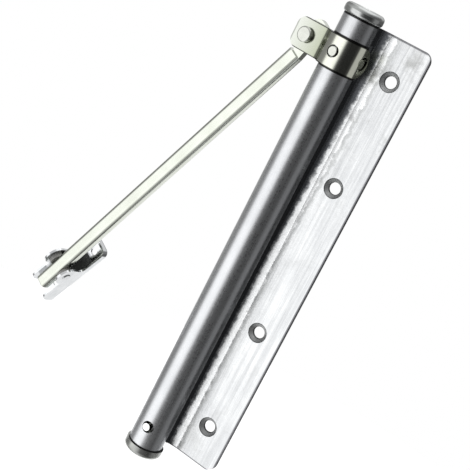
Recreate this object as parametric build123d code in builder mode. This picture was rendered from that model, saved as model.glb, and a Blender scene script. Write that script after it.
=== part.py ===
from build123d import *
import math
import os

# Tubular spring door closer: a torsion spring in a tube on a screw-on plate turns a strap, whose
# ears carry a long arm with a pressed foot. Millimetres. +X runs from the tube to the plate's free
# edge, +Y into the wall, +Z up. The origin is on the plate's back face, in the middle of its holes.

# Plate
PLATE_LENGTH = 246.8
PLATE_THICK = 3.0
PLATE_CORNER = 5.0
PLATE_INNER_CORNER = 2.0
HOLE_TO_FREE_EDGE = 13.7
INNER_HOLE_SPACING = 86.0
OUTER_HOLE_SPACING = 205.0
HOLE_RADIUS = 3.15
COUNTERSINK_RADIUS = 5.3
COUNTERSINK_ANGLE = 90
LAND_LEFT = 7.5
LAND_RIGHT = 6.5
JOGGLE_RIGHT = 8.2
FACET_RIGHT = 13.2
FACET_DROP = 0.8
BEND_RADIUS = 2.0
WINDOW_MARGIN = 1.5
WINDOW_RIGHT = 5.2
LUG_CLEARANCE = 0.3
WINDOW_CORNER = 0.4
EDGE_ROUND = 0.4

# Tube and where it stands, measured from its axis and its lower end
TUBE_RADIUS = 9.5
TUBE_WALL = 1.2
TUBE_LENGTH = 248.2
TUBE_TO_HOLES = 23.3
TUBE_TO_PLATE_FRONT = 11.8
TUBE_LOWER_OVERHANG = 1.2
SLOT_CLEARANCE = 0.25
SLOT_MARGIN = 1.5
LOCK_HOLE_RIGHT = 0.9
LOCK_HOLE_HEIGHT = 11.6
LOCK_HOLE_RADIUS = 3.3

# Weld beads between the tube and the plate's land
BEAD_RADIUS = 0.9
BEAD_LENGTH = 14.0
BEAD_FIRST = 16.0
BEAD_TO_STRAP = 3.0
BEAD_COUNT = 4

# Fits
CONTACT_GAP = 0.05
RUNNING_FIT = 0.1
PIN_FIT = 0.02

# Caps
TOP_CAP_RADIUS = 10.4
TOP_CAP_HEIGHT = 5.3
TOP_CAP_ROUND = 2.4
TOP_CAP_LIP_ROUND = 1.6
TOP_CAP_SPIGOT = 8.1
TOP_CAP_RECESS_RADIUS = 6.6
TOP_CAP_RECESS = 0.5

# Tension plug, its washer and the lock pin
PLUG_FLANGE_RADIUS = 10.5
PLUG_FLANGE = 5.2
PLUG_ROUND = 2.4
PLUG_DEPTH = 24.0
GROOVE_DEPTH = 2.4
LOCK_PIN_RADIUS = 2.15
LOCK_PIN_RECESS = 0.2
LOCK_PIN_SHIFT = 1.1
LOCK_PIN_LEAN = 35
DRIVER_SLOT_WIDTH = 2.0
DRIVER_SLOT_DEPTH = 1.8
PLUG_WASHER = 0.5
ROD_RADIUS = 3.0
ROD_SOCKET = 10.0
ROD_IN_ROTOR = 8.0
ROD_CHAMFER = 0.5

# Torsion spring
WIRE_RADIUS = 1.1
COIL_RADIUS = 5.9
COIL_PITCH = 4.2
COIL_END_GAP = 0.5

# Strap with its ears and its side lug. Its rest angle and its travel are about the tube's axis
STRAP_TURN = -9.5
STRAP_TRAVEL = 110.0
STRAP_HEIGHT = 16.2
STRAP_BELOW_TOP = 19.2
STRAP_THICK = 1.5
STRAP_GAP = 0.25
EAR_OUT = 29.8
EAR_CORNER = 4.5
EAR_INNER_FACE = 2.6
REAR_EAR_HEIGHT = 11.2
EAR_BEND = 4.5
STRAP_PIN_RADIUS = 2.5
STRAP_PIN_HOLE = 3.2
STRAP_PIN_PROUD = 0.35
STRAP_PIN_REACH = 3.4
SIDE_LUG_FORWARD = 2.3
SIDE_HOLE_RADIUS = 3.6
SIDE_HOLE_BACK = 0.95
SIDE_HOLE_RISE = 0.45

# Rotor that the spring turns, and its thrust washer
ROTOR_HEIGHT = 20.0
THRUST_WASHER = 1.0
THRUST_WASHER_HOLE = 4.0

# Pivot rivet between the ears
PIVOT_OUT = 22.0
PIVOT_RADIUS = 2.5
PIVOT_HEAD_RADIUS = 4.0
PIVOT_HEAD = 2.6
PIVOT_NECK_RADIUS = 3.6
PIVOT_NECK = 0.9
PIVOT_TAIL_RADIUS = 3.9
PIVOT_TAIL = 1.8
PIVOT_WASHER_RADIUS = 4.4
PIVOT_WASHER = 0.5

# Arm. Its fold is the angle between it and the tube
ARM_FOLD = 24.6
ARM_WIDTH = 8.4
ARM_DEPTH = 6.6
ARM_EDGE_ROUND = 2.5
ARM_OFFSET = 2.0
ARM_PAST_FOOT_PIN = 16.5
ARM_TIP_ROUND = 0.8
SHOULDER = 11.0
TONGUE_THICK = 4.0
TONGUE_END = 10.3
TONGUE_LEFT = 4.0
TONGUE_RIGHT = 5.0
TONGUE_TAPER_START = 4.0
TONGUE_CORNER = 3.5

# Foot bracket, measured from its pin. Along runs to the tail, back runs away from the viewer
FOOT_REACH = 199.0
FOOT_TILT = 6.0
FOOT_WIDTH = 16.0
FOOT_SHEET = 1.3
FOOT_NOSE = 25.0
FOOT_TAIL = 22.2
FOOT_BACK = 13.4
FOOT_RIM = 8.0
LUG_RADIUS = 6.3
TAIL_WALL = 0.8
TAIL_CORNER = 5.0
RIM_CORNER = 3.0
NOSE_CORNER = 4.0
FOOT_BEND = 2.4
FOOT_HOLE_RADIUS = 2.25
FOOT_NOSE_HOLE = 17.0
FOOT_TAIL_HOLE = 14.5
FOOT_PIN_RADIUS = 1.75
FOOT_PIN_HEAD_RADIUS = 2.5
FOOT_PIN_HEAD = 0.5
SPACER_RADIUS = 4.0
BUFFER_LENGTH = 21.0
BUFFER_WIDTH = 11.0
BUFFER_THICK = 1.9
BUFFER_CORNER = 2.0
BUFFER_SHIFT = -1.5

# Longer than anything it cuts through
THROUGH = 60.0

# Places worked out from the sizes above
TUBE_BORE = TUBE_RADIUS - TUBE_WALL
PLATE_BACK = TUBE_TO_PLATE_FRONT + PLATE_THICK
PLATE_RIGHT = TUBE_TO_HOLES + HOLE_TO_FREE_EDGE
LAND_FRONT = TUBE_RADIUS + CONTACT_GAP
TUBE_BOTTOM = -PLATE_LENGTH / 2 - TUBE_LOWER_OVERHANG
STRAP_MID = TUBE_LENGTH - STRAP_BELOW_TOP
PIN_HALF_ANGLE = math.degrees(math.asin(STRAP_PIN_RADIUS / TUBE_BORE))
SLOT_START = STRAP_TURN - 90 - PIN_HALF_ANGLE - SLOT_MARGIN
SLOT_END = STRAP_TURN + STRAP_TRAVEL + PIN_HALF_ANGLE + SLOT_MARGIN
STRAP_INNER = TUBE_RADIUS + STRAP_GAP
STRAP_OUTER = STRAP_INNER + STRAP_THICK
SIDE_LUG_REACH = STRAP_HEIGHT / 2 - SIDE_LUG_FORWARD
EAR_OUTER_FACE = EAR_INNER_FACE + STRAP_THICK
ROTOR_RADIUS = TUBE_BORE - RUNNING_FIT
THRUST_WASHER_BOTTOM = TUBE_LENGTH - TOP_CAP_SPIGOT - THRUST_WASHER
ROTOR_BOTTOM = THRUST_WASHER_BOTTOM - CONTACT_GAP - ROTOR_HEIGHT
COIL_ROOM = ROTOR_BOTTOM - PLUG_DEPTH - 2 * (WIRE_RADIUS + COIL_END_GAP)
COIL_TURNS = math.floor(COIL_ROOM / COIL_PITCH)
BEAD_LAST = STRAP_MID - STRAP_HEIGHT / 2 - BEAD_TO_STRAP - BEAD_LENGTH
BEAD_STEP = (BEAD_LAST - BEAD_FIRST) / (BEAD_COUNT - 1)
ARM_TIP = FOOT_REACH + ARM_PAST_FOOT_PIN

up = Vector(0, 0, 1)
strap_across = Vector(1, 0, 0).rotate(Axis.Z, STRAP_TURN)
strap_back = Vector(0, 1, 0).rotate(Axis.Z, STRAP_TURN)
strap_front = strap_back * -1
fold_sine = math.sin(math.radians(ARM_FOLD))
fold_cosine = math.cos(math.radians(ARM_FOLD))
arm_along = strap_across * -fold_sine - up * fold_cosine
arm_across = strap_across * fold_cosine - up * fold_sine
tilt_sine = math.sin(math.radians(FOOT_TILT))
tilt_cosine = math.cos(math.radians(FOOT_TILT))
foot_along = arm_along * tilt_cosine + strap_front * tilt_sine
foot_front = strap_front * tilt_cosine - arm_along * tilt_sine


def on_axis(height):
    """A point on the tube's axis, this far above its lower end."""
    return Vector(-TUBE_TO_HOLES, -PLATE_BACK, TUBE_BOTTOM + height)


pivot = on_axis(STRAP_MID) - strap_across * PIVOT_OUT
foot_pin_place = pivot + arm_along * FOOT_REACH + arm_across * ARM_OFFSET


def level(height):
    """Horizontal plane of the tube and the plate."""
    return Plane(origin=on_axis(height), x_dir=(1, 0, 0), z_dir=up)


def front_view(forward):
    """Upright plane facing the viewer, this far in front of the tube's axis."""
    return Plane(origin=on_axis(0) + Vector(0, -forward, 0), x_dir=(1, 0, 0), z_dir=(0, -1, 0))


def strap_level(height):
    """Horizontal plane turned with the strap."""
    return Plane(origin=on_axis(height), x_dir=strap_across, z_dir=up)


def strap_view(forward):
    """Upright plane facing the strap's front, its origin at the strap's mid height."""
    place = on_axis(STRAP_MID) + strap_front * forward
    return Plane(origin=place, x_dir=strap_across, z_dir=strap_front)


def strap_side(across):
    """Upright plane facing the strap's side, its origin at the strap's mid height."""
    place = on_axis(STRAP_MID) + strap_across * across
    return Plane(origin=place, x_dir=strap_back, z_dir=strap_across)


def arm_view(forward):
    """Plane of the arm's broad face, its origin at the pivot."""
    return Plane(origin=pivot + strap_front * forward, x_dir=arm_along, z_dir=strap_front)


def arm_section(along):
    """Plane across the arm, this far from the pivot."""
    return Plane(origin=pivot + arm_along * along, x_dir=arm_across, z_dir=arm_along)


def foot_side(across):
    """Plane of the foot's side walls, its origin on the foot's pin."""
    return Plane(origin=foot_pin_place + arm_across * across, x_dir=foot_along, z_dir=arm_across)


def foot_view(forward):
    """Plane of the foot's floor, its origin at the foot's pin."""
    return Plane(origin=foot_pin_place + foot_front * forward, x_dir=foot_along, z_dir=foot_front)


os.makedirs("parts", exist_ok=True)

# Mounting plate: sheet joggled forward, by a shallow facet and a steeper step, to a land behind the tube
with BuildPart() as mounting_plate:
    with BuildSketch(level(TUBE_LOWER_OVERHANG)):
        with BuildLine():
            Polyline(
                (-LAND_LEFT, LAND_FRONT),
                (LAND_RIGHT, LAND_FRONT),
                (JOGGLE_RIGHT, TUBE_TO_PLATE_FRONT - FACET_DROP),
                (FACET_RIGHT, TUBE_TO_PLATE_FRONT),
                (PLATE_RIGHT, TUBE_TO_PLATE_FRONT),
                (PLATE_RIGHT, PLATE_BACK),
                (FACET_RIGHT, PLATE_BACK),
                (JOGGLE_RIGHT - CONTACT_GAP, PLATE_BACK - FACET_DROP),
                (LAND_RIGHT - CONTACT_GAP, LAND_FRONT + PLATE_THICK),
                (-LAND_LEFT, LAND_FRONT + PLATE_THICK),
                close=True,
            )
        plate_face = make_face()
        bends = plate_face.vertices().sort_by(Axis.X)[2:6]
        fillet(bends, BEND_RADIUS)
    extrude(amount=PLATE_LENGTH)
    upright = mounting_plate.edges().filter_by(Axis.Y)
    fillet(upright.group_by(Axis.X)[-1], PLATE_CORNER)
    upright = mounting_plate.edges().filter_by(Axis.Y)
    fillet(upright.group_by(Axis.X)[0], PLATE_INNER_CORNER)
    with BuildSketch(front_view(0)):
        window_height = STRAP_HEIGHT + 2 * WINDOW_MARGIN
        with Locations((0, STRAP_MID)):
            RectangleRounded(2 * WINDOW_RIGHT, window_height, WINDOW_CORNER)
        with Locations((-LAND_LEFT, STRAP_MID)):
            Rectangle(2 * LAND_LEFT, window_height)
    extrude(amount=-THROUGH, mode=Mode.SUBTRACT)
    with BuildSketch(level(STRAP_MID - window_height / 2)):
        Circle(math.hypot(STRAP_OUTER, SIDE_LUG_REACH) + LUG_CLEARANCE)
    extrude(amount=window_height, mode=Mode.SUBTRACT)
    screw_face = Plane(origin=(0, -PLATE_THICK, 0), x_dir=(1, 0, 0), z_dir=(0, -1, 0))
    with Locations(screw_face):
        hole_heights = (OUTER_HOLE_SPACING / 2, INNER_HOLE_SPACING / 2)
        with Locations([(0, side * height) for height in hole_heights for side in (1, -1)]):
            CounterSinkHole(
                radius=HOLE_RADIUS,
                counter_sink_radius=COUNTERSINK_RADIUS,
                depth=PLATE_THICK,
                counter_sink_angle=COUNTERSINK_ANGLE,
            )
    outline = mounting_plate.faces().sort_by(Axis.Y)[-1].outer_wire().edges()
    fillet(outline.filter_by(Axis.Z).sort_by(Axis.X)[-1:], EDGE_ROUND)

# Tube with the strap's slot and the lock pin's hole
with BuildPart() as barrel_tube:
    with BuildSketch(level(0)):
        Circle(TUBE_RADIUS)
        Circle(TUBE_BORE, mode=Mode.SUBTRACT)
    extrude(amount=TUBE_LENGTH)
    slot_height = 2 * (STRAP_PIN_RADIUS + SLOT_CLEARANCE)
    with BuildSketch(level(STRAP_MID - slot_height / 2)):
        with BuildLine():
            slot_arc = CenterArc((0, 0), 2 * TUBE_RADIUS, SLOT_START, SLOT_END - SLOT_START)
            Line((0, 0), slot_arc @ 0)
            Line((0, 0), slot_arc @ 1)
        make_face()
    extrude(amount=slot_height, mode=Mode.SUBTRACT)
    with BuildSketch(front_view(0)):
        with Locations((LOCK_HOLE_RIGHT, LOCK_HOLE_HEIGHT)):
            Circle(LOCK_HOLE_RADIUS)
    extrude(amount=2 * TUBE_RADIUS, mode=Mode.SUBTRACT)

# Weld beads in the two crevices between the tube and the land
bead_y = LAND_FRONT - BEAD_RADIUS - CONTACT_GAP
bead_x = math.sqrt((TUBE_RADIUS + BEAD_RADIUS + CONTACT_GAP) ** 2 - bead_y**2)
with BuildPart() as weld_beads:
    for bead in range(BEAD_COUNT):
        with BuildSketch(level(BEAD_FIRST + bead * BEAD_STEP)):
            with Locations((bead_x, bead_y), (-bead_x, bead_y)):
                Circle(BEAD_RADIUS)
        extrude(amount=BEAD_LENGTH)
    fillet(weld_beads.edges().filter_by(GeomType.CIRCLE), BEAD_RADIUS / 2)

# Top cap, pressed into the tube
with BuildPart() as top_cap:
    with BuildSketch(level(TUBE_LENGTH + CONTACT_GAP)):
        Circle(TOP_CAP_RADIUS)
    extrude(amount=TOP_CAP_HEIGHT)
    fillet(top_cap.edges().group_by(Axis.Z)[-1], TOP_CAP_ROUND)
    fillet(top_cap.edges().group_by(Axis.Z)[0], TOP_CAP_LIP_ROUND)
    with BuildSketch(level(TUBE_LENGTH + CONTACT_GAP + TOP_CAP_HEIGHT)):
        Circle(TOP_CAP_RECESS_RADIUS)
    extrude(amount=-TOP_CAP_RECESS, taper=60, mode=Mode.SUBTRACT)
    with BuildSketch(level(TUBE_LENGTH + CONTACT_GAP)):
        Circle(TUBE_BORE - CONTACT_GAP)
    extrude(amount=-TOP_CAP_SPIGOT)

# Washer under the tube's lower end
with BuildPart() as plug_washer:
    with BuildSketch(level(-CONTACT_GAP)):
        Circle(TUBE_RADIUS)
        Circle(TUBE_BORE + CONTACT_GAP, mode=Mode.SUBTRACT)
    extrude(amount=-PLUG_WASHER)

# Tension plug: flange, spigot with a groove for the lock pin, and a socket for the guide rod
flange_top = -2 * CONTACT_GAP - PLUG_WASHER
groove_bottom = LOCK_HOLE_HEIGHT - LOCK_HOLE_RADIUS - SLOT_CLEARANCE
groove_height = 2 * (LOCK_HOLE_RADIUS + SLOT_CLEARANCE)
with BuildPart() as tension_plug:
    with BuildSketch(level(flange_top - PLUG_FLANGE)):
        Circle(PLUG_FLANGE_RADIUS)
    extrude(amount=PLUG_FLANGE)
    fillet(tension_plug.edges().group_by(Axis.Z)[0], PLUG_ROUND)
    with BuildSketch(level(flange_top)):
        Circle(TUBE_BORE - RUNNING_FIT)
    extrude(amount=PLUG_DEPTH - flange_top)
    with BuildSketch(level(groove_bottom)):
        Circle(TUBE_RADIUS)
        Circle(TUBE_BORE - RUNNING_FIT - GROOVE_DEPTH, mode=Mode.SUBTRACT)
    extrude(amount=groove_height, mode=Mode.SUBTRACT)
    with BuildSketch(level(flange_top - PLUG_FLANGE)):
        Rectangle(3 * PLUG_FLANGE_RADIUS, DRIVER_SLOT_WIDTH)
    extrude(amount=DRIVER_SLOT_DEPTH, mode=Mode.SUBTRACT)
    with BuildSketch(level(PLUG_DEPTH)):
        Circle(ROD_RADIUS + PIN_FIT)
    extrude(amount=-ROD_SOCKET, mode=Mode.SUBTRACT)

# Lock pin through the tube's wall into the plug's groove, pressed to one side of its hole
lock_pin_inner = TUBE_BORE - RUNNING_FIT - GROOVE_DEPTH + SLOT_CLEARANCE
lock_pin_outer = TUBE_RADIUS - LOCK_PIN_RECESS
lock_pin_x = LOCK_HOLE_RIGHT - LOCK_PIN_SHIFT * math.cos(math.radians(LOCK_PIN_LEAN))
lock_pin_height = LOCK_HOLE_HEIGHT - LOCK_PIN_SHIFT * math.sin(math.radians(LOCK_PIN_LEAN))
with BuildPart() as lock_pin:
    with BuildSketch(front_view(lock_pin_inner)):
        with Locations((lock_pin_x, lock_pin_height)):
            Circle(LOCK_PIN_RADIUS)
    extrude(amount=lock_pin_outer - lock_pin_inner)
    fillet(lock_pin.edges().group_by(Axis.Y)[0], LOCK_PIN_RECESS)

# Guide rod inside the spring, held by the plug and running in the rotor
rod_bottom = PLUG_DEPTH - ROD_SOCKET + CONTACT_GAP
with BuildPart() as guide_rod:
    with BuildSketch(level(rod_bottom)):
        Circle(ROD_RADIUS)
    extrude(amount=ROTOR_BOTTOM + ROD_IN_ROTOR - rod_bottom)
    chamfer(guide_rod.edges().filter_by(GeomType.CIRCLE), ROD_CHAMFER)


def coil_point(turn):
    """A point of the coil and the wire's direction there, at this many turns."""
    angle = 2 * math.pi * turn
    middle = (PLUG_DEPTH + ROTOR_BOTTOM) / 2
    height = middle + (turn - COIL_TURNS / 2) * COIL_PITCH
    place = on_axis(height) + Vector(math.cos(angle), math.sin(angle), 0) * COIL_RADIUS
    rise = COIL_PITCH / (2 * math.pi)
    heading = Vector(-math.sin(angle) * COIL_RADIUS, math.cos(angle) * COIL_RADIUS, rise)
    return place, heading.normalized()


def meeting_point(start, start_heading, end, end_heading):
    """Where two arcs meet that leave the start and reach the end along these headings."""
    span = end - start
    both = start_heading + end_heading
    spread = 2 * (1 - start_heading.dot(end_heading))
    along = span.dot(both)
    reach = (math.sqrt(along**2 + spread * span.dot(span)) - along) / spread
    return (start + end + (start_heading - end_heading) * reach) * 0.5


# Torsion spring, wound clear of the rod and the tube
with BuildPart() as torsion_spring:
    with BuildLine() as coil:
        heading = coil_point(0)[1]
        for half_turn in range(2 * COIL_TURNS):
            start, start_heading = coil_point(half_turn / 2)
            end, end_heading = coil_point((half_turn + 1) / 2)
            middle = meeting_point(start, start_heading, end, end_heading)
            first = TangentArc(start, middle, tangent=heading)
            second = TangentArc(middle, end, tangent=first % 1)
            heading = second % 1
    with BuildSketch(Plane(origin=coil_point(0)[0], z_dir=coil_point(0)[1])):
        Circle(WIRE_RADIUS)
    sweep(path=coil.wires()[0])

# Strap round the tube: its front half is broad, from the front ear to a flat lug with a round end at
# the side, and a narrower band runs on behind the tube to the rear ear
ear_root = math.sqrt(STRAP_OUTER**2 - EAR_OUTER_FACE**2)
with BuildPart() as strap_clamp:
    with BuildSketch(strap_level(STRAP_MID - STRAP_HEIGHT / 2)) as strap_plan:
        Circle(STRAP_OUTER)
        for side in (-1, 1):
            with Locations((-EAR_OUT / 2, side * (EAR_OUTER_FACE + EAR_INNER_FACE) / 2)):
                Rectangle(EAR_OUT, STRAP_THICK)
        Circle(STRAP_INNER, mode=Mode.SUBTRACT)
        with Locations((-EAR_OUT, 0)):
            Rectangle(2 * (EAR_OUT - STRAP_INNER / 2), 2 * EAR_INNER_FACE, mode=Mode.SUBTRACT)
        for side in (-1, 1):
            root = strap_plan.vertices().sort_by_distance((-ear_root, side * EAR_OUTER_FACE))[0]
            fillet(root, EAR_BEND)
    extrude(amount=STRAP_HEIGHT)
    with BuildSketch(strap_view(0)):
        trim_height = STRAP_HEIGHT - REAR_EAR_HEIGHT
        for side in (-1, 1):
            with Locations((0, side * STRAP_HEIGHT / 2)):
                Rectangle(3 * EAR_OUT, trim_height)
    extrude(amount=-2 * STRAP_OUTER, mode=Mode.SUBTRACT)
    frontward = Axis(tuple(pivot), tuple(strap_front))
    sheet_edges = strap_clamp.edges().filter_by(Axis((0, 0, 0), tuple(strap_back)))
    fillet(sheet_edges.sort_by(frontward)[-2:], EAR_CORNER)
    sheet_edges = strap_clamp.edges().filter_by(Axis((0, 0, 0), tuple(strap_back)))
    fillet(sheet_edges.sort_by(frontward)[:2], REAR_EAR_HEIGHT / 2 - CONTACT_GAP)
    with BuildSketch(strap_side(STRAP_INNER)):
        with Locations((-SIDE_LUG_FORWARD, 0)):
            Circle(STRAP_HEIGHT / 2)
        with Locations((-STRAP_HEIGHT / 2, 0)):
            Rectangle(STRAP_HEIGHT, STRAP_HEIGHT, mode=Mode.SUBTRACT)
    extrude(amount=STRAP_THICK)
    with BuildSketch(strap_view(0)):
        Circle(STRAP_PIN_HOLE)
    extrude(amount=2 * STRAP_OUTER, mode=Mode.SUBTRACT)
    with BuildSketch(strap_side(0)):
        with Locations((SIDE_HOLE_BACK, SIDE_HOLE_RISE)):
            Circle(SIDE_HOLE_RADIUS)
    extrude(amount=2 * STRAP_OUTER, mode=Mode.SUBTRACT)
    with BuildSketch(strap_view(0)):
        with Locations((-PIVOT_OUT, 0)):
            Circle(PIVOT_RADIUS + PIN_FIT)
    extrude(amount=STRAP_OUTER, both=True, mode=Mode.SUBTRACT)

# Rotor in the tube, turned by the spring and drilled for the two strap pins
pin_inner = ROTOR_RADIUS - STRAP_PIN_REACH
with BuildPart() as rotor:
    with BuildSketch(strap_level(ROTOR_BOTTOM)):
        Circle(ROTOR_RADIUS)
    extrude(amount=ROTOR_HEIGHT)
    with BuildSketch(strap_level(ROTOR_BOTTOM)):
        Circle(ROD_RADIUS + RUNNING_FIT)
    extrude(amount=ROD_IN_ROTOR + CONTACT_GAP, mode=Mode.SUBTRACT)
    with BuildSketch(strap_view(pin_inner - CONTACT_GAP), strap_side(pin_inner - CONTACT_GAP)):
        Circle(STRAP_PIN_RADIUS + PIN_FIT)
    extrude(amount=ROTOR_RADIUS, mode=Mode.SUBTRACT)

# Thrust washer between the rotor and the top cap
with BuildPart() as thrust_washer:
    with BuildSketch(level(THRUST_WASHER_BOTTOM)):
        Circle(ROTOR_RADIUS)
        Circle(THRUST_WASHER_HOLE, mode=Mode.SUBTRACT)
    extrude(amount=THRUST_WASHER)

# Pin that shows in the strap's front hole
with BuildPart() as strap_pin:
    with BuildSketch(strap_view(pin_inner)):
        Circle(STRAP_PIN_RADIUS)
    extrude(amount=STRAP_OUTER + STRAP_PIN_PROUD - pin_inner)
    fillet(strap_pin.edges().sort_by(Axis(tuple(pivot), tuple(strap_front)))[-1], EDGE_ROUND)

# Pin in the strap's side lug
with BuildPart() as side_pin:
    with BuildSketch(strap_side(pin_inner)):
        Circle(STRAP_PIN_RADIUS)
    extrude(amount=STRAP_OUTER - pin_inner)
    fillet(side_pin.edges().sort_by(Axis(tuple(pivot), tuple(strap_across)))[-1], EDGE_ROUND)

# Rivet through the ears and the arm's tongue
with BuildPart() as pivot_rivet:
    with BuildSketch(strap_view(-EAR_OUTER_FACE - CONTACT_GAP)):
        with Locations((-PIVOT_OUT, 0)):
            Circle(PIVOT_RADIUS)
    extrude(amount=2 * (EAR_OUTER_FACE + CONTACT_GAP))
    with BuildSketch(strap_view(EAR_OUTER_FACE + CONTACT_GAP)):
        with Locations((-PIVOT_OUT, 0)):
            Circle(PIVOT_NECK_RADIUS)
    extrude(amount=PIVOT_NECK)
    with BuildSketch(strap_view(EAR_OUTER_FACE + CONTACT_GAP + PIVOT_NECK)):
        with Locations((-PIVOT_OUT, 0)):
            Circle(PIVOT_HEAD_RADIUS)
    extrude(amount=PIVOT_HEAD - PIVOT_NECK)
    with BuildSketch(strap_view(-EAR_OUTER_FACE - CONTACT_GAP)):
        with Locations((-PIVOT_OUT, 0)):
            Circle(PIVOT_TAIL_RADIUS)
    extrude(amount=-PIVOT_TAIL)
    rims = pivot_rivet.edges().sort_by(Axis(tuple(pivot), tuple(strap_front)))
    fillet(rims[-1], 2 * EDGE_ROUND)
    fillet(rims[0], 2 * EDGE_ROUND)

# Swing arm: rounded bar with a thinner tongue between the ears
bar_left = ARM_OFFSET - ARM_WIDTH / 2
bar_right = ARM_OFFSET + ARM_WIDTH / 2
with BuildPart() as swing_arm:
    with BuildSketch(arm_section(SHOULDER)):
        with Locations((ARM_OFFSET, 0)):
            RectangleRounded(ARM_WIDTH, ARM_DEPTH, ARM_EDGE_ROUND)
    extrude(amount=ARM_TIP - SHOULDER)
    fillet(swing_arm.faces().sort_by(Axis(tuple(pivot), tuple(arm_along)))[-1].edges(), ARM_TIP_ROUND)
    with BuildSketch(arm_view(-TONGUE_THICK / 2)) as tongue:
        with BuildLine():
            Polyline(
                (-TONGUE_END, -TONGUE_LEFT),
                (TONGUE_TAPER_START, -TONGUE_LEFT),
                (SHOULDER, bar_left + ARM_EDGE_ROUND),
                (SHOULDER + ARM_EDGE_ROUND, bar_left + ARM_EDGE_ROUND),
                (SHOULDER + ARM_EDGE_ROUND, bar_right - ARM_EDGE_ROUND),
                (SHOULDER, bar_right - ARM_EDGE_ROUND),
                (SHOULDER, bar_right - EDGE_ROUND),
                (TONGUE_TAPER_START, TONGUE_RIGHT),
                (-TONGUE_END, TONGUE_RIGHT),
                close=True,
            )
        make_face()
        fillet(tongue.vertices().sort_by(Axis.X)[:2], TONGUE_CORNER)
    extrude(amount=TONGUE_THICK)
    with BuildSketch(arm_view(0)):
        Circle(PIVOT_RADIUS + PIN_FIT)
    extrude(amount=ARM_DEPTH, both=True, mode=Mode.SUBTRACT)
    with BuildSketch(foot_side(0)):
        Circle(FOOT_PIN_RADIUS + PIN_FIT)
    extrude(amount=FOOT_WIDTH, both=True, mode=Mode.SUBTRACT)

# Washers each side of the tongue
washer_inner = TONGUE_THICK / 2 + CONTACT_GAP
washers = {}
for name, forward in (("front", washer_inner), ("rear", -washer_inner - PIVOT_WASHER)):
    with BuildPart() as washer:
        with BuildSketch(arm_view(forward)):
            Circle(PIVOT_WASHER_RADIUS)
            Circle(PIVOT_RADIUS + RUNNING_FIT, mode=Mode.SUBTRACT)
        extrude(amount=PIVOT_WASHER)
    washers["pivot_washer_" + name] = washer

# Foot: pressed channel with a low rim at its nose and two round lugs for the pin
half_foot = FOOT_WIDTH / 2
foot_line = Axis(tuple(foot_pin_place), tuple(foot_along))
floor_line = Axis(tuple(foot_pin_place), tuple(foot_front))
with BuildPart() as foot_bracket:
    with BuildSketch(foot_side(-half_foot)) as foot_profile:
        with Locations(((FOOT_TAIL - FOOT_NOSE) / 2, (FOOT_RIM + FOOT_BACK) / 2)):
            Rectangle(FOOT_NOSE + FOOT_TAIL, FOOT_BACK - FOOT_RIM)
        with Locations(((FOOT_TAIL - LUG_RADIUS) / 2, (TAIL_WALL + FOOT_BACK) / 2)):
            Rectangle(FOOT_TAIL + LUG_RADIUS, FOOT_BACK - TAIL_WALL)
        Circle(LUG_RADIUS)
        fillet(foot_profile.vertices().sort_by_distance((FOOT_TAIL, TAIL_WALL))[0], TAIL_CORNER)
        fillet(foot_profile.vertices().sort_by_distance((-LUG_RADIUS, FOOT_RIM))[0], RIM_CORNER)
    extrude(amount=FOOT_WIDTH)
    nose_edges = foot_bracket.edges().filter_by(floor_line).sort_by(foot_line)[:2]
    fillet(nose_edges, NOSE_CORNER)
    floor_edges = foot_bracket.edges().group_by(floor_line)[0]
    fillet(floor_edges.filter_by(foot_line), FOOT_BEND)
    with BuildSketch(foot_view(FOOT_SHEET - FOOT_BACK)) as foot_inside:
        with Locations((THROUGH / 2 - FOOT_NOSE + FOOT_SHEET, 0)):
            Rectangle(THROUGH, FOOT_WIDTH - 2 * FOOT_SHEET)
        fillet(foot_inside.vertices().sort_by(Axis.X)[:2], NOSE_CORNER - FOOT_SHEET)
    extrude(amount=THROUGH, mode=Mode.SUBTRACT)
    with BuildSketch(foot_view(-FOOT_BACK)):
        with Locations((-FOOT_NOSE_HOLE, 0), (FOOT_TAIL_HOLE, 0)):
            Circle(FOOT_HOLE_RADIUS)
    extrude(amount=FOOT_SHEET, mode=Mode.SUBTRACT)
    with BuildSketch(foot_side(0)):
        Circle(FOOT_PIN_RADIUS + PIN_FIT)
    extrude(amount=FOOT_WIDTH, both=True, mode=Mode.SUBTRACT)

# Foot pin with a low head outside each lug
with BuildPart() as foot_pin:
    with BuildSketch(foot_side(-half_foot - CONTACT_GAP)):
        Circle(FOOT_PIN_RADIUS)
    extrude(amount=FOOT_WIDTH + 2 * CONTACT_GAP)
    with BuildSketch(foot_side(half_foot + CONTACT_GAP)):
        Circle(FOOT_PIN_HEAD_RADIUS)
    extrude(amount=FOOT_PIN_HEAD)
    with BuildSketch(foot_side(-half_foot - CONTACT_GAP)):
        Circle(FOOT_PIN_HEAD_RADIUS)
    extrude(amount=-FOOT_PIN_HEAD)
    rims = foot_pin.edges().sort_by(Axis(tuple(foot_pin_place), tuple(arm_across)))
    fillet([rims[0], rims[-1]], EDGE_ROUND)

# Spacers each side of the arm on the foot's pin
spacer_length = half_foot - FOOT_SHEET - ARM_WIDTH / 2 - 2 * CONTACT_GAP
spacers = {}
for name, across in (("left", -half_foot + FOOT_SHEET), ("right", ARM_WIDTH / 2)):
    with BuildPart() as spacer:
        with BuildSketch(foot_side(across + CONTACT_GAP)):
            Circle(SPACER_RADIUS)
            Circle(FOOT_PIN_RADIUS + RUNNING_FIT, mode=Mode.SUBTRACT)
        extrude(amount=spacer_length)
    spacers["foot_spacer_" + name] = spacer

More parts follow.
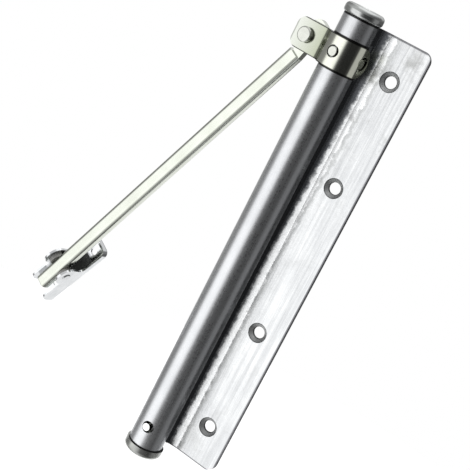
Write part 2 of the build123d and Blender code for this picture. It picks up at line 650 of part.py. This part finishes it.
# Buffer on the foot's floor, under the arm's end
with BuildPart() as foot_buffer:
    with BuildSketch(foot_view(FOOT_SHEET + CONTACT_GAP - FOOT_BACK)):
        with Locations((BUFFER_SHIFT, 0)):
            RectangleRounded(BUFFER_LENGTH, BUFFER_WIDTH, BUFFER_CORNER)
    extrude(amount=BUFFER_THICK)
    fillet(foot_buffer.edges().group_by(floor_line)[-1], 2 * EDGE_ROUND)

pieces = {
    "mounting_plate": mounting_plate,
    "barrel_tube": barrel_tube,
    "weld_beads": weld_beads,
    "top_cap": top_cap,
    "plug_washer": plug_washer,
    "tension_plug": tension_plug,
    "lock_pin": lock_pin,
    "guide_rod": guide_rod,
    "torsion_spring": torsion_spring,
    "strap_clamp": strap_clamp,
    "rotor": rotor,
    "thrust_washer": thrust_washer,
    "strap_pin": strap_pin,
    "side_pin": side_pin,
    "pivot_rivet": pivot_rivet,
    "swing_arm": swing_arm,
    "foot_bracket": foot_bracket,
    "foot_pin": foot_pin,
    "foot_buffer": foot_buffer,
}
pieces.update(washers)
pieces.update(spacers)
for name, piece in pieces.items():
    piece.part.label = name
    export_step(piece.part, f"parts/{name}.step")
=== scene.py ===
import math

import bpy
from mathutils import Matrix, Vector


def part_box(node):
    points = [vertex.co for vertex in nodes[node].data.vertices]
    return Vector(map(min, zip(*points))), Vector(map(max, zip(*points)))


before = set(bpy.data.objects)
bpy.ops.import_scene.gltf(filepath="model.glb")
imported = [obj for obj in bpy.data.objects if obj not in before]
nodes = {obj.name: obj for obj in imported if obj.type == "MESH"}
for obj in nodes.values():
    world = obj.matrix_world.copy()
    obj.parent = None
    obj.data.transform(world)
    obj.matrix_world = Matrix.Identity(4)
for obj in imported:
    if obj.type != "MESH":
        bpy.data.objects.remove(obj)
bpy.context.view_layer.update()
scene = bpy.context.scene
scene.view_settings.view_transform = "Standard"

# A Mix node's sockets when it mixes colours
FIRST_COLOUR, SECOND_COLOUR, MIXED_COLOUR = 6, 7, 2


def grey(brightness):
    return (brightness, brightness, brightness, 1)


# Camera, at the photograph's place and roll, in metres and millimetres of lens

CAMERA_PLACE = (0.1811, -0.5492, 0.1454)
AZIMUTH, ELEVATION, ROLL = (math.radians(degrees) for degrees in (21.68, 14.35, 26.94))
SENSOR_WIDTH = 36.0
LENS = 88.8
CLIP_START = 0.01

camera_data = bpy.data.cameras.new("camera")
camera_data.sensor_width = SENSOR_WIDTH
camera_data.lens = LENS
camera_data.clip_start = CLIP_START
camera = bpy.data.objects.new("camera", camera_data)
scene.collection.objects.link(camera)
back = Vector((math.sin(AZIMUTH) * math.cos(ELEVATION), -math.cos(AZIMUTH) * math.cos(ELEVATION),
               math.sin(ELEVATION)))
level_right = Vector((math.cos(AZIMUTH), math.sin(AZIMUTH), 0))
level_up = back.cross(level_right)
right = level_right * math.cos(ROLL) + level_up * math.sin(ROLL)
above = level_up * math.cos(ROLL) - level_right * math.sin(ROLL)
axes = Matrix((right, above, back)).transposed().to_4x4()
camera.matrix_world = Matrix.Translation(CAMERA_PLACE) @ axes
scene.camera = camera


# Studio: greys by direction for light and reflections, and plain white behind the part for the camera

# Pairs of degrees right of straight ahead and brightness: level and a little below, above, towards the floor
STUDIO_LOW = ((-180, 0.3), (-172, 0.62), (-140, 0.6), (-127, 0.5), (-117, 0.36), (-107, 0.3), (-90, 0.3),
              (-75, 0.34), (-66, 0.5), (-59, 1.3), (-52, 1.55), (-40, 1.66), (-20, 1.66), (-8, 1.6),
              (-1, 1.35), (6, 0.6), (12, 0.2), (20, 0.09), (32, 0.05), (68, 0.05), (82, 0.16), (89, 0.4),
              (116, 0.4), (125, 0.16), (170, 0.14), (180, 0.3))
STUDIO_HIGH = ((-180, 0.3), (-140, 0.3), (-100, 0.4), (-60, 0.8), (-20, 0.8), (20, 0.4), (60, 0.2),
               (100, 0.2), (180, 0.3))
STUDIO_FLOOR = ((-180, 0.4), (-172, 0.6), (-140, 0.6), (-117, 0.36), (-75, 0.34), (-59, 1.2), (-40, 1.6),
                (-8, 1.6), (3, 1.2), (18, 0.8), (38, 0.5), (55, 0.3), (70, 0.15), (98, 0.12), (118, 0.3),
                (136, 0.6), (170, 0.8), (180, 0.4))
STUDIO_TOP = 0.9
HALF_TURN, FULL_TURN = 180, 360
QUARTER_TURN = math.radians(90)

# The directions' heights between which one part of the studio gives way to the next
HIGH_FROM, HIGH_TO = 0.03, 0.12
FLOOR_FROM, FLOOR_TO = -0.42, -0.6
TOP_FROM, TOP_TO = 0.6, 0.9

world = bpy.data.worlds.new("studio")
scene.world = world
world.use_nodes = True
tree = world.node_tree
tree.nodes.clear()


def world_node(kind, inputs=None, **values):
    node = tree.nodes.new(kind)
    for key, value in values.items():
        setattr(node, key, value)
    for socket, value in (inputs or {}).items():
        if isinstance(value, bpy.types.NodeSocket):
            tree.links.new(value, node.inputs[socket])
        else:
            node.inputs[socket].default_value = value
    return node


def shades(stops):
    """A grey for each direction round about, from pairs of degrees and brightness."""
    ramp = world_node("ShaderNodeValToRGB", {"Fac": round_about})
    elements = ramp.color_ramp.elements
    elements.remove(elements[-1])
    elements[0].position = 0
    elements[0].color = grey(stops[0][1])
    for degrees, brightness in stops[1:]:
        elements.new((degrees + HALF_TURN) / FULL_TURN).color = grey(brightness)
    return ramp.outputs["Color"]


def blend(share, first, second):
    mixed = world_node("ShaderNodeMix", {"Factor": share, FIRST_COLOUR: first, SECOND_COLOUR: second},
                       data_type="RGBA")
    return mixed.outputs[MIXED_COLOUR]


def height_share(start, end):
    """0 at the first height of a direction and 1 at the second."""
    share = world_node("ShaderNodeMapRange", {"Value": height, "From Min": start, "From Max": end})
    return share.outputs["Result"]


direction = world_node("ShaderNodeTexCoord").outputs["Generated"]
turned = world_node("ShaderNodeMapping", {"Vector": direction, "Rotation": (0, 0, QUARTER_TURN)})
radial = world_node("ShaderNodeTexGradient", {"Vector": turned.outputs[0]}, gradient_type="RADIAL")
round_about = radial.outputs["Fac"]
height = world_node("ShaderNodeSeparateXYZ", {0: direction}).outputs["Z"]
low = blend(height_share(FLOOR_FROM, FLOOR_TO), shades(STUDIO_LOW), shades(STUDIO_FLOOR))
low_and_high = blend(height_share(HIGH_FROM, HIGH_TO), low, shades(STUDIO_HIGH))
lit = blend(height_share(TOP_FROM, TOP_TO), low_and_high, grey(STUDIO_TOP))
seen = world_node("ShaderNodeLightPath").outputs["Is Camera Ray"]
sky = world_node("ShaderNodeBackground", {"Color": blend(seen, lit, grey(1)), "Strength": 1.0})
world_node("ShaderNodeOutputWorld", {"Surface": sky.outputs["Background"]})


def light(name, place, target, size, watts):
    lamp = bpy.data.lights.new(name, "AREA")
    lamp.shape = "RECTANGLE"
    lamp.size, lamp.size_y = size
    lamp.energy = watts
    obj = bpy.data.objects.new(name, lamp)
    scene.collection.objects.link(obj)
    obj.location = place
    obj.rotation_euler = (Vector(target) - Vector(place)).to_track_quat("-Z", "Y").to_euler()


light("overhead", place=(0, 0.2, 1.8), target=(0, 0.2, 0), size=(1.6, 1.6), watts=5)
light("behind", place=(-0.2, 1.6, 1.5), target=(0, 0, 0), size=(2.5, 2.0), watts=9)

# Floor: a pale disc, low and behind the part, that glows a little
FLOOR_PLACE = (-0.15, 0.75, -0.6)
FLOOR_RADIUS = 0.8
FLOOR_SIDES = 96
FLOOR_BRIGHTNESS = 0.9
FLOOR_ROUGHNESS = 0.9
FLOOR_GLOW = 0.45

corners = [2 * math.pi * side / FLOOR_SIDES for side in range(FLOOR_SIDES)]
floor_mesh = bpy.data.meshes.new("floor")
floor_mesh.from_pydata([(math.cos(a) * FLOOR_RADIUS, math.sin(a) * FLOOR_RADIUS, 0) for a in corners], [],
                       [tuple(range(FLOOR_SIDES))])
floor = bpy.data.objects.new("floor", floor_mesh)
floor.location = FLOOR_PLACE
scene.collection.objects.link(floor)
floor_paint = bpy.data.materials.new("floor_paint")
floor_paint.use_nodes = True
paint = floor_paint.node_tree.nodes["Principled BSDF"]
paint.inputs["Base Color"].default_value = grey(FLOOR_BRIGHTNESS)
paint.inputs["Roughness"].default_value = FLOOR_ROUGHNESS
paint.inputs["Emission Color"].default_value = grey(1)
paint.inputs["Emission Strength"].default_value = FLOOR_GLOW
floor_mesh.materials.append(floor_paint)


# Materials

class Shader:
    """A node material that reads the piece's own coordinates, in metres."""

    def __init__(self, name, metallic):
        self.material = bpy.data.materials.new(name)
        self.material.use_nodes = True
        self.tree = self.material.node_tree
        self.bsdf = self.tree.nodes["Principled BSDF"]
        self.place = self.node("ShaderNodeTexCoord").outputs["Object"]
        self.dull = None
        self.set("Metallic", metallic)

    def node(self, kind, inputs=None, **values):
        made = self.tree.nodes.new(kind)
        for key, value in values.items():
            setattr(made, key, value)
        for socket, value in (inputs or {}).items():
            self.feed(made.inputs[socket], value)
        return made

    def feed(self, socket, value):
        if isinstance(value, bpy.types.NodeSocket):
            self.tree.links.new(value, socket)
        else:
            socket.default_value = value

    def split(self):
        return self.node("ShaderNodeSeparateXYZ", {0: self.place}).outputs

    def stretched(self, scale):
        """The coordinates scaled, so that a pattern runs along the direction with the least scale."""
        return self.node("ShaderNodeMapping", {"Vector": self.place, "Scale": scale}).outputs[0]

    def noise(self, where, scale, detail=3.0, rough=0.5):
        return self.node("ShaderNodeTexNoise", {"Vector": where, "Scale": scale, "Detail": detail,
                                                "Roughness": rough}).outputs["Fac"]

    def range(self, value, low, high, to_low, to_high):
        return self.node("ShaderNodeMapRange", {"Value": value, "From Min": low, "From Max": high,
                                                "To Min": to_low, "To Max": to_high}).outputs["Result"]

    def math(self, operation, a, b):
        return self.node("ShaderNodeMath", {0: a, 1: b}, operation=operation).outputs[0]

    def near(self, value, place, reach, fade):
        """1 where the value is within reach of the place, falling to 0 over the fade outside it."""
        away = self.math("ABSOLUTE", self.math("SUBTRACT", value, place), 0.0)
        return self.range(away, reach, reach + fade, 1.0, 0.0)

    def mix(self, share, first, second):
        mixed = self.node("ShaderNodeMix", {"Factor": share, FIRST_COLOUR: first, SECOND_COLOUR: second},
                          data_type="RGBA")
        return mixed.outputs[MIXED_COLOUR]

    def set(self, socket, value):
        self.feed(self.bsdf.inputs[socket], value)

    def bump(self, height, distance):
        made = self.node("ShaderNodeBump", {"Height": height, "Distance": distance, "Strength": 1.0})
        self.set("Normal", made.outputs[0])


def give(material, *names):
    for name in names:
        mesh = nodes[name].data
        mesh.materials.clear()
        mesh.materials.append(material)


FINE_SCALE = 900.0
SPECKLE_SCALE = 2400.0


def metal(name, light_tint, dark_tint, rough, blotch=60.0, grain=None, grain_height=0.0, wear=0.08,
          shading=None):
    """Bare or plated metal: slow blotches, fine smears and, where given, a grain along one direction."""
    shader = Shader(name, metallic=1.0)
    slow = shader.noise(shader.place, blotch, detail=4.0, rough=0.6)
    fine = shader.noise(shader.place, FINE_SCALE, rough=0.7)
    if grain:
        lines = shader.noise(shader.stretched(grain), 1.0, detail=4.0, rough=0.7)
    else:
        lines = shader.noise(shader.place, SPECKLE_SCALE, detail=2.0)
    colour = shader.mix(shader.range(slow, 0.35, 0.65, 0.0, 1.0), (*light_tint, 1), (*dark_tint, 1))
    if shading:
        colour = shading(shader, colour, lines)
    shader.set("Base Color", colour)
    smear = shader.range(fine, 0.3, 0.7, -wear / 2, wear / 2)
    streak = shader.range(lines, 0.3, 0.7, rough - wear / 2, rough + wear / 2)
    gloss = shader.math("ADD", smear, streak)
    if shader.dull:
        gloss = shader.math("ADD", gloss, shader.dull)
    shader.set("Roughness", gloss)
    if grain_height:
        shader.bump(lines, grain_height)
    return shader.material


plate_low, plate_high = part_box("mounting_plate")
tube_low, tube_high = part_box("barrel_tube")
strap_low, strap_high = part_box("strap_clamp")
AXIS_X = (tube_low[0] + tube_high[0]) / 2

# Plate: tones at fixed places that follow the photograph, right of the tube's axis
# Painted shade of the tube on the plate beside it, fading out to the right
SHADE_STRIP_END, SHADE_STRIP_FADED = AXIS_X + 0.0082, AXIS_X + 0.0100
BAND_MIDDLE, BAND_REACH, BAND_FADE = AXIS_X + 0.0117, 0.0015, 0.0012
LINE_MIDDLE, LINE_REACH, LINE_FADE = AXIS_X + 0.0145, 0.0006, 0.0008
WANDER = 0.0011
LEAN_HEIGHT, LEAN = 0.1, 0.0034
SHADE_STRIP_TONE = (0.11, 0.115, 0.125, 1)
BAND_TONE = (0.92, 0.93, 0.94, 1)
LINE_TONE, LINE_SHARE = (0.42, 0.43, 0.43, 1), 0.6

# Plate: streaks along it and stains
STREAK_STRETCH = (500, 500, 14)
STREAK_TONE = (0.44, 0.45, 0.46, 1)
GRAIN_TONE = (0.40, 0.41, 0.42, 1)
STAIN_SCALE = 75.0
STAIN_TONE = (0.36, 0.365, 0.36, 1)
STAIN_LOW, STAIN_HIGH = 0.03, 0.11

# Plate: countersinks, by how far their wall lies in front of the plate's back, with painted shade round
# their rims and down their holes, and dark outer edges
BACK_Y = plate_high[1]
CONE_FROM, CONE_FULL = BACK_Y - 0.00290, BACK_Y - 0.00275
# Painted shade round the countersinks' rims and down their holes
LIP_PLACE, LIP_REACH, LIP_FADE = BACK_Y - 0.0028, 0.0001, 0.0001
BORE_FROM, BORE_FULL = BACK_Y - 0.0013, BACK_Y - 0.0008
CONE_DULLNESS = 0.3
CONE_LIGHT, CONE_DARK = (0.62, 0.63, 0.63, 1), (0.40, 0.41, 0.41, 1)
LIP_SHADE_TONE, LIP_SHARE = (0.06, 0.06, 0.065, 1), 0.8
BORE_SHADE_TONE = (0.02, 0.02, 0.022, 1)
EDGE_TONE, EDGE_SHARE, EDGE_FADE = (0.10, 0.10, 0.11, 1), 0.85, 0.0004
RIGHT_EDGE_REACH, TOP_EDGE_REACH, BOTTOM_EDGE_REACH = 0.0004, 0.0007, 0.0004


def plate_shading(shader, colour, lines):
    """Streaks and stains, and on the front beside the tube painted shade of the tube, a bright band and a
    grey line.
    """
    x, y, z = (shader.split()[axis] for axis in "XYZ")
    normal = shader.node("ShaderNodeNewGeometry").outputs["Normal"]
    facing = shader.node("ShaderNodeSeparateXYZ", {0: normal}).outputs["Y"]
    front = shader.math("LESS_THAN", facing, 0.5)
    streaks = shader.noise(shader.stretched(STREAK_STRETCH), 1.0, detail=4.0, rough=0.65)
    colour = shader.mix(shader.range(streaks, 0.42, 0.7, 0.0, 0.8), colour, STREAK_TONE)
    colour = shader.mix(shader.range(lines, 0.5, 0.75, 0.0, 0.5), colour, GRAIN_TONE)
    uneven = shader.noise(shader.place, 260.0, detail=4.0, rough=0.7)
    wandering = shader.math("ADD", x, shader.range(uneven, 0.3, 0.7, -WANDER, WANDER))
    across = shader.math("SUBTRACT", wandering, shader.range(z, 0.0, LEAN_HEIGHT, 0.0, LEAN))
    band = shader.math("MULTIPLY", front, shader.near(across, BAND_MIDDLE, BAND_REACH, BAND_FADE))
    colour = shader.mix(band, colour, BAND_TONE)
    line = shader.math("MULTIPLY", front, shader.near(across, LINE_MIDDLE, LINE_REACH, LINE_FADE))
    colour = shader.mix(shader.math("MULTIPLY", line, LINE_SHARE), colour, LINE_TONE)
    stains = shader.noise(shader.place, STAIN_SCALE, detail=5.0, rough=0.62)
    more_above = shader.range(z, STAIN_LOW, STAIN_HIGH, 0.25, 0.8)
    stained = shader.math("MULTIPLY", shader.range(stains, 0.55, 0.68, 0.0, 1.0), more_above)
    colour = shader.mix(stained, colour, STAIN_TONE)
    # painted shade of the tube, dark beside it and fading out to the right
    tube_shade = shader.math("MULTIPLY", front, shader.range(across, SHADE_STRIP_END, SHADE_STRIP_FADED, 1.0, 0.0))
    colour = shader.mix(tube_shade, colour, SHADE_STRIP_TONE)
    cone = shader.math("MULTIPLY", front, shader.range(y, CONE_FROM, CONE_FULL, 0.0, 1.0))
    shader.dull = shader.math("MULTIPLY", cone, CONE_DULLNESS)
    cone_tone = shader.mix(shader.range(stains, 0.4, 0.6, 0.0, 1.0), CONE_LIGHT, CONE_DARK)
    colour = shader.mix(cone, colour, cone_tone)
    # painted shade round each countersink's rim and down its hole
    rim_shade = shader.math("MULTIPLY", front, shader.near(y, LIP_PLACE, LIP_REACH, LIP_FADE))
    colour = shader.mix(shader.math("MULTIPLY", rim_shade, LIP_SHARE), colour, LIP_SHADE_TONE)
    hole_shade = shader.math("MULTIPLY", front, shader.range(y, BORE_FROM, BORE_FULL, 0.0, 1.0))
    colour = shader.mix(hole_shade, colour, BORE_SHADE_TONE)
    for value, edge, reach in ((x, plate_high[0], RIGHT_EDGE_REACH), (z, plate_high[2], TOP_EDGE_REACH),
                               (z, plate_low[2], BOTTOM_EDGE_REACH)):
        rim = shader.math("MULTIPLY", shader.near(value, edge, reach, EDGE_FADE), EDGE_SHARE)
        colour = shader.mix(rim, colour, EDGE_TONE)
    return colour


# Tube: painted shade on the right side, and rings of painted shade just past the strap and under the cap
SHADED_SIDE_FROM, SHADED_SIDE_FULL = AXIS_X + 0.0064, AXIS_X + 0.0080
SHADED_SIDE_TONE = (0.40, 0.41, 0.425, 1)
# Rings of painted shade where the strap and the cap meet the tube
SHADE_RING_PLACES = (strap_low[2] - 0.0003, strap_high[2] + 0.0003, tube_high[2] - 0.0002)
SHADE_RING_REACH, SHADE_RING_FADE = 0.0004, 0.0003
SHADE_RING_TONE = (0.03, 0.03, 0.03, 1)


def tube_shading(shader, colour, lines):
    """Painted shade on the right side, and rings of painted shade where the strap and the cap meet the tube.
    """
    x, z = (shader.split()[axis] for axis in "XZ")
    # painted shade on the right side
    colour = shader.mix(shader.range(x, SHADED_SIDE_FROM, SHADED_SIDE_FULL, 0.0, 1.0), colour, SHADED_SIDE_TONE)
    # rings of painted shade where the strap and the cap meet the tube
    for place in SHADE_RING_PLACES:
        colour = shader.mix(shader.near(z, place, SHADE_RING_REACH, SHADE_RING_FADE), colour, SHADE_RING_TONE)
    return colour


# Strap: tones at fixed places that follow the photograph, from the ears at the left to the lug
EAR_FROM, EAR_TO = -0.053, -0.036
EAR_LEFT, EAR_RIGHT = (0.56, 0.575, 0.535, 1), (0.36, 0.385, 0.30, 1)
WRAP_FROM, WRAP_TO = -0.0345, -0.030
WRAP_LIGHT, WRAP_DARK = (0.72, 0.73, 0.66, 1), (0.56, 0.57, 0.50, 1)
# Painted shade over the right half
STRAP_SHADE_FROM, STRAP_SHADE_TO, STRAP_SHADE_SHARE = AXIS_X + 0.0022, AXIS_X + 0.0034, 0.7
STRAP_SHADE_TONE = (0.20, 0.205, 0.19, 1)
# A painted highlight beside the lug
HIGHLIGHT_MIDDLE, HIGHLIGHT_REACH, HIGHLIGHT_FADE = AXIS_X + 0.0099, 0.0009, 0.0004
HIGHLIGHT_TONE = (0.95, 0.97, 0.84, 1)
LUG_FROM, LUG_TO = AXIS_X + 0.0107, AXIS_X + 0.0111
LUG_DARK, LUG_LIGHT = (0.50, 0.53, 0.42, 1), (0.62, 0.65, 0.50, 1)
EAR_END_REACH, EAR_END_FADE, EAR_END_SHARE = 0.0005, 0.0004, 0.6
EAR_END_TONE = (0.16, 0.17, 0.15, 1)
# Painted shade along the top and bottom edges, where the strap meets the tube
STRAP_EDGE_SHADE_REACH, STRAP_EDGE_SHADE_FADE = 0.0003, 0.0003
STRAP_EDGE_SHADE_TONE = (0.05, 0.05, 0.045, 1)


def strap_shading(shader, colour, lines):
    """A yellow-green tint, painted shade over the right half, a painted highlight beside the lug, and
    painted shade along the top and bottom edges.
    """
    x, z = (shader.split()[axis] for axis in "XZ")
    colour = shader.mix(shader.range(x, EAR_FROM, EAR_TO, 0.0, 1.0), EAR_LEFT, EAR_RIGHT)
    wrap = shader.range(x, WRAP_FROM, WRAP_TO, 0.0, 1.0)
    colour = shader.mix(wrap, colour, shader.mix(lines, WRAP_LIGHT, WRAP_DARK))
    # painted shade over the right half
    colour = shader.mix(shader.range(x, STRAP_SHADE_FROM, STRAP_SHADE_TO, 0.0, STRAP_SHADE_SHARE), colour, STRAP_SHADE_TONE)
    # a painted highlight beside the lug
    painted_highlight = shader.near(x, HIGHLIGHT_MIDDLE, HIGHLIGHT_REACH, HIGHLIGHT_FADE)
    colour = shader.mix(painted_highlight, colour, HIGHLIGHT_TONE)
    lug = shader.range(x, LUG_FROM, LUG_TO, 0.0, 1.0)
    colour = shader.mix(lug, colour, shader.mix(lines, LUG_DARK, LUG_LIGHT))
    ear_end = shader.near(x, strap_low[0], EAR_END_REACH, EAR_END_FADE)
    colour = shader.mix(shader.math("MULTIPLY", ear_end, EAR_END_SHARE), colour, EAR_END_TONE)
    # painted shade along the top and bottom edges, where the strap meets the tube
    for edge in (strap_low[2], strap_high[2]):
        colour = shader.mix(shader.near(z, edge, STRAP_EDGE_SHADE_REACH, STRAP_EDGE_SHADE_FADE), colour, STRAP_EDGE_SHADE_TONE)
    return colour


UP_GRAIN = (2500, 2500, 40)
LATHE_GRAIN = (60, 60, 3500)
plate_steel = metal("plate_steel", (0.71, 0.72, 0.725), (0.60, 0.61, 0.62), 0.28, blotch=45.0,
                    grain=UP_GRAIN, grain_height=0.000003, shading=plate_shading)
tube_steel = metal("tube_steel", (0.62, 0.63, 0.645), (0.57, 0.58, 0.595), 0.30, blotch=60.0,
                   grain=UP_GRAIN, grain_height=0.000001, shading=tube_shading)
strap_nickel = metal("strap_nickel", (0.62, 0.63, 0.56), (0.56, 0.57, 0.50), 0.14, blotch=90.0,
                     shading=strap_shading)
arm_nickel = metal("arm_nickel", (0.62, 0.64, 0.585), (0.57, 0.59, 0.53), 0.16, blotch=90.0, wear=0.05)
cap_steel = metal("cap_steel", (0.50, 0.51, 0.50), (0.42, 0.43, 0.43), 0.21, blotch=120.0)
plug_steel = metal("plug_steel", (0.44, 0.45, 0.43), (0.30, 0.305, 0.295), 0.27, blotch=120.0,
                   grain=LATHE_GRAIN, grain_height=0.00001)
pin_steel = metal("pin_steel", (0.56, 0.57, 0.53), (0.50, 0.51, 0.47), 0.20, blotch=200.0)
side_steel = metal("side_steel", (0.46, 0.48, 0.39), (0.38, 0.40, 0.32), 0.25, blotch=200.0)
bright_steel = metal("bright_steel", (0.88, 0.89, 0.88), (0.80, 0.81, 0.80), 0.12, blotch=200.0)
foot_chrome = metal("foot_chrome", (0.66, 0.67, 0.68), (0.56, 0.575, 0.585), 0.12, blotch=150.0, wear=0.06)
weld_steel = metal("weld_steel", (0.30, 0.30, 0.31), (0.20, 0.19, 0.19), 0.42, blotch=500.0)
inner_steel = metal("inner_steel", (0.45, 0.45, 0.45), (0.36, 0.36, 0.37), 0.35, blotch=100.0)
spring_steel = metal("spring_steel", (0.34, 0.34, 0.36), (0.24, 0.24, 0.26), 0.30, blotch=200.0)

MOULDED_GRAIN_SCALE = 3000.0
MOULDED_BLOTCH_SCALE = 150.0
MOULDED_UNEVENNESS = 0.08
MOULDED_GRAIN_HEIGHT = 0.00002


def moulded(name, light_tint, dark_tint, rough):
    """Plastic, fibre or rubber: slow changes of colour, and a fine grain in gloss and height."""
    shader = Shader(name, metallic=0.0)
    grain = shader.noise(shader.place, MOULDED_GRAIN_SCALE, detail=4.0, rough=0.6)
    slow = shader.noise(shader.place, MOULDED_BLOTCH_SCALE)
    shader.set("Base Color", shader.mix(slow, (*light_tint, 1), (*dark_tint, 1)))
    shader.set("Roughness", shader.range(grain, 0.3, 0.7, rough - MOULDED_UNEVENNESS,
                                         rough + MOULDED_UNEVENNESS))
    shader.bump(grain, MOULDED_GRAIN_HEIGHT)
    return shader.material


black_fibre = moulded("black_fibre", (0.018, 0.018, 0.018), (0.010, 0.010, 0.010), 0.8)
fibre = moulded("fibre", (0.16, 0.12, 0.09), (0.11, 0.08, 0.06), 0.7)
nylon = moulded("nylon", (0.30, 0.30, 0.28), (0.24, 0.24, 0.23), 0.45)
rubber = moulded("rubber", (0.070, 0.074, 0.070), (0.040, 0.044, 0.041), 0.5)

give(plate_steel, "mounting_plate")
give(tube_steel, "barrel_tube")
give(weld_steel, "weld_beads")
give(cap_steel, "top_cap")
give(plug_steel, "tension_plug")
give(black_fibre, "plug_washer")
give(fibre, "thrust_washer", "pivot_washer_front", "pivot_washer_rear")
give(pin_steel, "strap_pin", "pivot_rivet")
give(side_steel, "side_pin")
give(bright_steel, "lock_pin")
give(inner_steel, "guide_rod", "rotor")
give(spring_steel, "torsion_spring")
give(strap_nickel, "strap_clamp")
give(arm_nickel, "swing_arm")
give(foot_chrome, "foot_bracket", "foot_pin")
give(rubber, "foot_buffer")
give(nylon, "foot_spacer_left", "foot_spacer_right")
